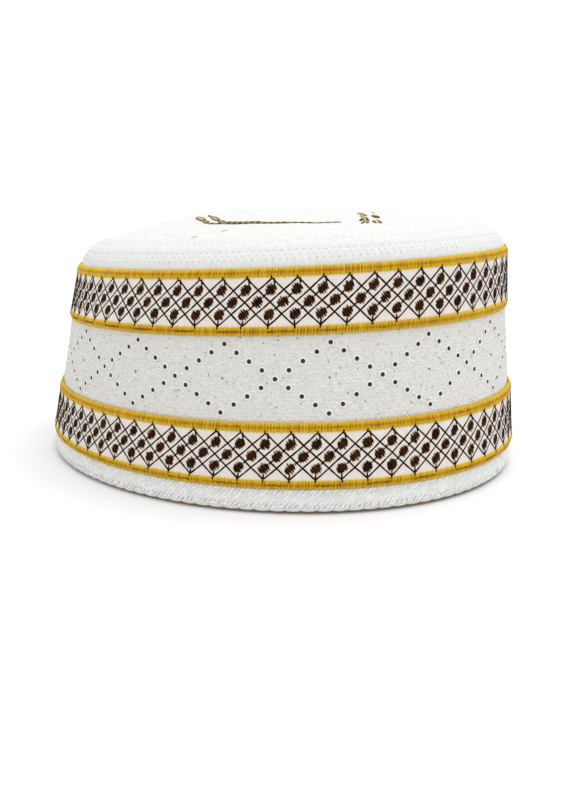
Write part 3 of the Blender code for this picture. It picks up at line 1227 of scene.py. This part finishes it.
def makeStem(rows, half, lines):
    points = [(Vector((row.across, row.along)) * mm * half, row.width * mm) for row in rows]
    for (start, width), (end, _) in zip(points, points[1:]):
        count = max(2, round((end - start).length / medallion["stemStitch"]))
        side = Vector((start.y - end.y, end.x - start.x)).normalized() * width * medallion["stemTwist"]
        for number in range(count):
            first = start.lerp(end, (number - medallion["stemOverlap"]) / count) - side
            last = start.lerp(end, (number + 1 + medallion["stemOverlap"]) / count) + side
            tone = medallion["stemTones"][number % 2]
            lines.append((first, last, width * medallion["stemThread"], tone))


def makeMedallion():
    sewn = {piece.finish: [] for piece in medallionPieces}
    for half in (1, -1):
        for leaf in medallion["leaves"]:
            makeLeaf(leaf, half, sewn[leaf.finish], sewn["olive"])
        for stroke in medallion["strokes"]:
            tone = chance.uniform(*medallion["strokeTones"])
            sewn[stroke.finish].append((*lineEnds(stroke, half), stroke.width * mm, tone))
        for rows in medallion["stems"]:
            makeStem(rows, half, sewn["olive"])
    for wanted in medallionPieces:
        begins, ends, widths, tones = (np.array(values) for values in zip(*sewn[wanted.finish]))
        depths = np.clip(widths * medallion["depth"], *medallion["depths"])
        look = {"outset": wanted.lift, "width": widths, "depth": depths, "tones": tones}
        begins, ends = crownPlaces(*begins.T), crownPlaces(*ends.T)
        sewOnCrown(wanted.name, wanted.finish, plainStitch, begins, ends, look)


places = eyeletPlaces()
makeWall(places)
makeRings(places)
makeFill(places)
print("panel done")
for which in lattices:
    makeRibbon(which)
    makeLattice(which)
    makeDots(which)
    makeJumps(which)
print("ribbons done")
borderFeet = (cap["hem"], lowerFoot + cap["band"], panelTop, upperFoot + cap["band"])
for number, (foot, which) in enumerate(zip(borderFeet, ("lower", "lower", "upper", "upper")), start=1):
    makeBorder(number, foot)
    makeDashes(number, foot, which)
print("borders done")
makeHem()
makeHemCord()
print("hem done")
makeCrown()
makeQuilting()
makeVents()
makeMedallion()
print("crown done")

# Floor, soft light and the camera
stage = {
    "floor": (0.73, 0.73, 0.73),
    "floorSize": 6,
    "world": (1.0, 1.0, 1.0, 1),
    "worldStrength": 1.1,
    "sunFrom": (0.12, -0.17, 0.98),
    "sunStrength": 1.6,
    "sunSpread": 50,  # degrees across, for soft shadows
}
camera = {"place": (-0.2501, -0.2445, 0.0976), "heading": -46.85, "pitch": 13.05, "lens": 37.97}


def makeFloor():
    mesh = bmesh.new()
    bmesh.ops.create_grid(mesh, x_segments=4, y_segments=4, size=stage["floorSize"])
    data = bpy.data.meshes.new("floor")
    mesh.to_mesh(data)
    mesh.free()
    data.materials.append(Recipe("floor", Roughness=0.9).finish(stage["floor"]))
    floor = newPiece("floor", data)


def makeSun():
    lamp = bpy.data.lights.new("sun", "SUN")
    lamp.energy, lamp.angle = stage["sunStrength"], math.radians(stage["sunSpread"])
    newPiece("sun", lamp).rotation_euler = Vector(stage["sunFrom"]).to_track_quat("Z", "Y").to_euler()


def makeWorld():
    world = bpy.data.worlds.new("studio")
    world.use_nodes = True
    sky = world.node_tree.nodes["Background"]
    sky.inputs["Color"].default_value = stage["world"]
    sky.inputs["Strength"].default_value = stage["worldStrength"]
    bpy.context.scene.world = world
    bpy.context.scene.view_settings.view_transform = "Standard"  # whites stay white, golds stay golden


def makeCamera():
    lens = bpy.data.cameras.new("camera")
    lens.lens, lens.sensor_width = camera["lens"], 36
    lens.clip_start, lens.clip_end = 0.01, 50
    eye = newPiece("camera", lens)
    eye.location = camera["place"]
    eye.rotation_euler = (math.radians(90 - camera["pitch"]), 0, math.radians(camera["heading"]))
    bpy.context.scene.camera = eye


makeWorld()
makeFloor()
makeSun()
makeCamera()
print("stage done")
